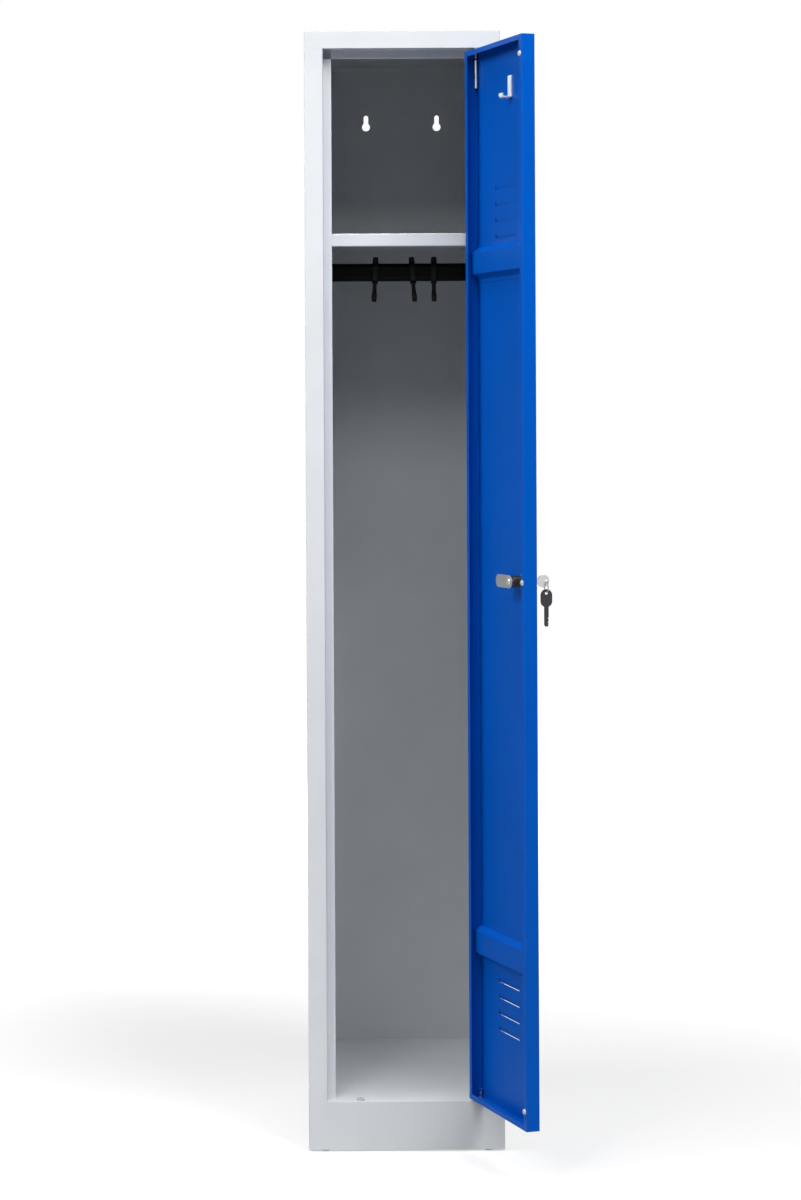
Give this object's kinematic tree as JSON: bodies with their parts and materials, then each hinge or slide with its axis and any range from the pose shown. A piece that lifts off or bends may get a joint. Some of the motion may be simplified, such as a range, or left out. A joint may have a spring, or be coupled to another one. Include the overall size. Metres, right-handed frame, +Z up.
{
  "type": "clothes locker",
  "caption": "Tall narrow steel clothes locker: folded-sheet carcass with hat shelf, coat rail and sliding hooks, and a louvred door that swings on corner pins and locks by key and cam.",
  "frame": {"origin": "on the floor under the middle of the carcass, at the feet's undersides", "axes": "+X to the right seen from the front, +Y from the front to the back, +Z up"},
  "size_m": [0.3859, 0.7318, 1.8],
  "materials": {
    "body_grey": "satin",
    "door_blue": "satin",
    "black_paint": "satin",
    "black_plastic": "matte",
    "grey_plastic": "matte",
    "clear_rubber": "satin",
    "zinc": "satin",
    "nickel": "polished",
    "dark_nickel": "satin",
    "glide_rubber": "matte"
  },
  "bodies": {
    "carcass": {"left_side": "body_grey", "right_side": "body_grey", "back_panel": "body_grey", "roof": "body_grey", "plinth_front": "body_grey", "plinth_rear": "body_grey", "floor_pan": "body_grey", "foot_front_left": "glide_rubber", "foot_front_right": "glide_rubber", "foot_rear_left": "glide_rubber", "foot_rear_right": "glide_rubber", "sill_glide": "grey_plastic", "hat_shelf": "body_grey", "shelf_angle_left": "body_grey", "shelf_angle_right": "body_grey", "coat_rail": "black_paint", "rail_socket_left": "black_plastic", "rail_socket_right": "black_plastic", "upper_bush": "grey_plastic", "lower_bush": "grey_plastic"},
    "door": {"door_pan": "door_blue", "upper_channel": "door_blue", "lower_channel": "door_blue", "door_hook": "zinc", "buffer_upper": "clear_rubber", "buffer_middle": "clear_rubber", "buffer_lower": "clear_rubber", "upper_hinge_pin": "zinc", "lower_hinge_pin": "zinc", "upper_hinge_bracket": "door_blue", "lower_hinge_bracket": "door_blue", "lock_housing": "nickel", "lock_nut": "zinc"},
    "lock_rotor": {"lock_plug": "nickel", "lock_cam": "zinc", "cam_screw": "zinc", "key_in_lock": "nickel"},
    "ring": {"key_ring": "zinc"},
    "spare": {"spare_key": "dark_nickel"},
    "hook_left": {"coat_hook_left": "black_plastic"},
    "hook_middle": {"coat_hook_middle": "black_plastic"},
    "hook_right": {"coat_hook_right": "black_plastic"}
  },
  "joints": [
    {"name": "door_swing", "type": "hinge", "parent": "carcass", "child": "door", "pos_m": [0.119, -0.2455, 0.924], "axis": [0, 0, 1], "range_deg": [-109, 11]},
    {"name": "lock_turn", "type": "hinge", "parent": "door", "child": "lock_rotor", "pos_m": [0.18363, -0.43318, 0.924], "axis": [-0.9455, -0.3256, 0], "range_deg": [0, 180]},
    {"name": "ring_swing", "type": "hinge", "parent": "lock_rotor", "child": "ring", "pos_m": [0.21908, -0.42098, 0.924], "axis": [-0.3256, 0.9455, 0], "range_deg": [-180, 0]},
    {"name": "spare_key_swing", "type": "hinge", "parent": "ring", "child": "spare", "pos_m": [0.21908, -0.42098, 0.9067], "axis": [-0.3256, 0.9455, 0], "range_deg": [-20, 20]},
    {"name": "hook_left_slide", "type": "slide", "parent": "carcass", "child": "hook_left", "axis": [1, 0, 0], "range_m": [-0.091, 0.038]},
    {"name": "hook_middle_slide", "type": "slide", "parent": "carcass", "child": "hook_middle", "axis": [1, 0, 0], "range_m": [-0.009, 0.014]},
    {"name": "hook_right_slide", "type": "slide", "parent": "carcass", "child": "hook_right", "axis": [1, 0, 0], "range_m": [-0.008, 0.084]}
  ],
  "couplings": [
    {"joint": "ring_swing", "follows": "lock_turn", "ratio": -1}
  ]
}
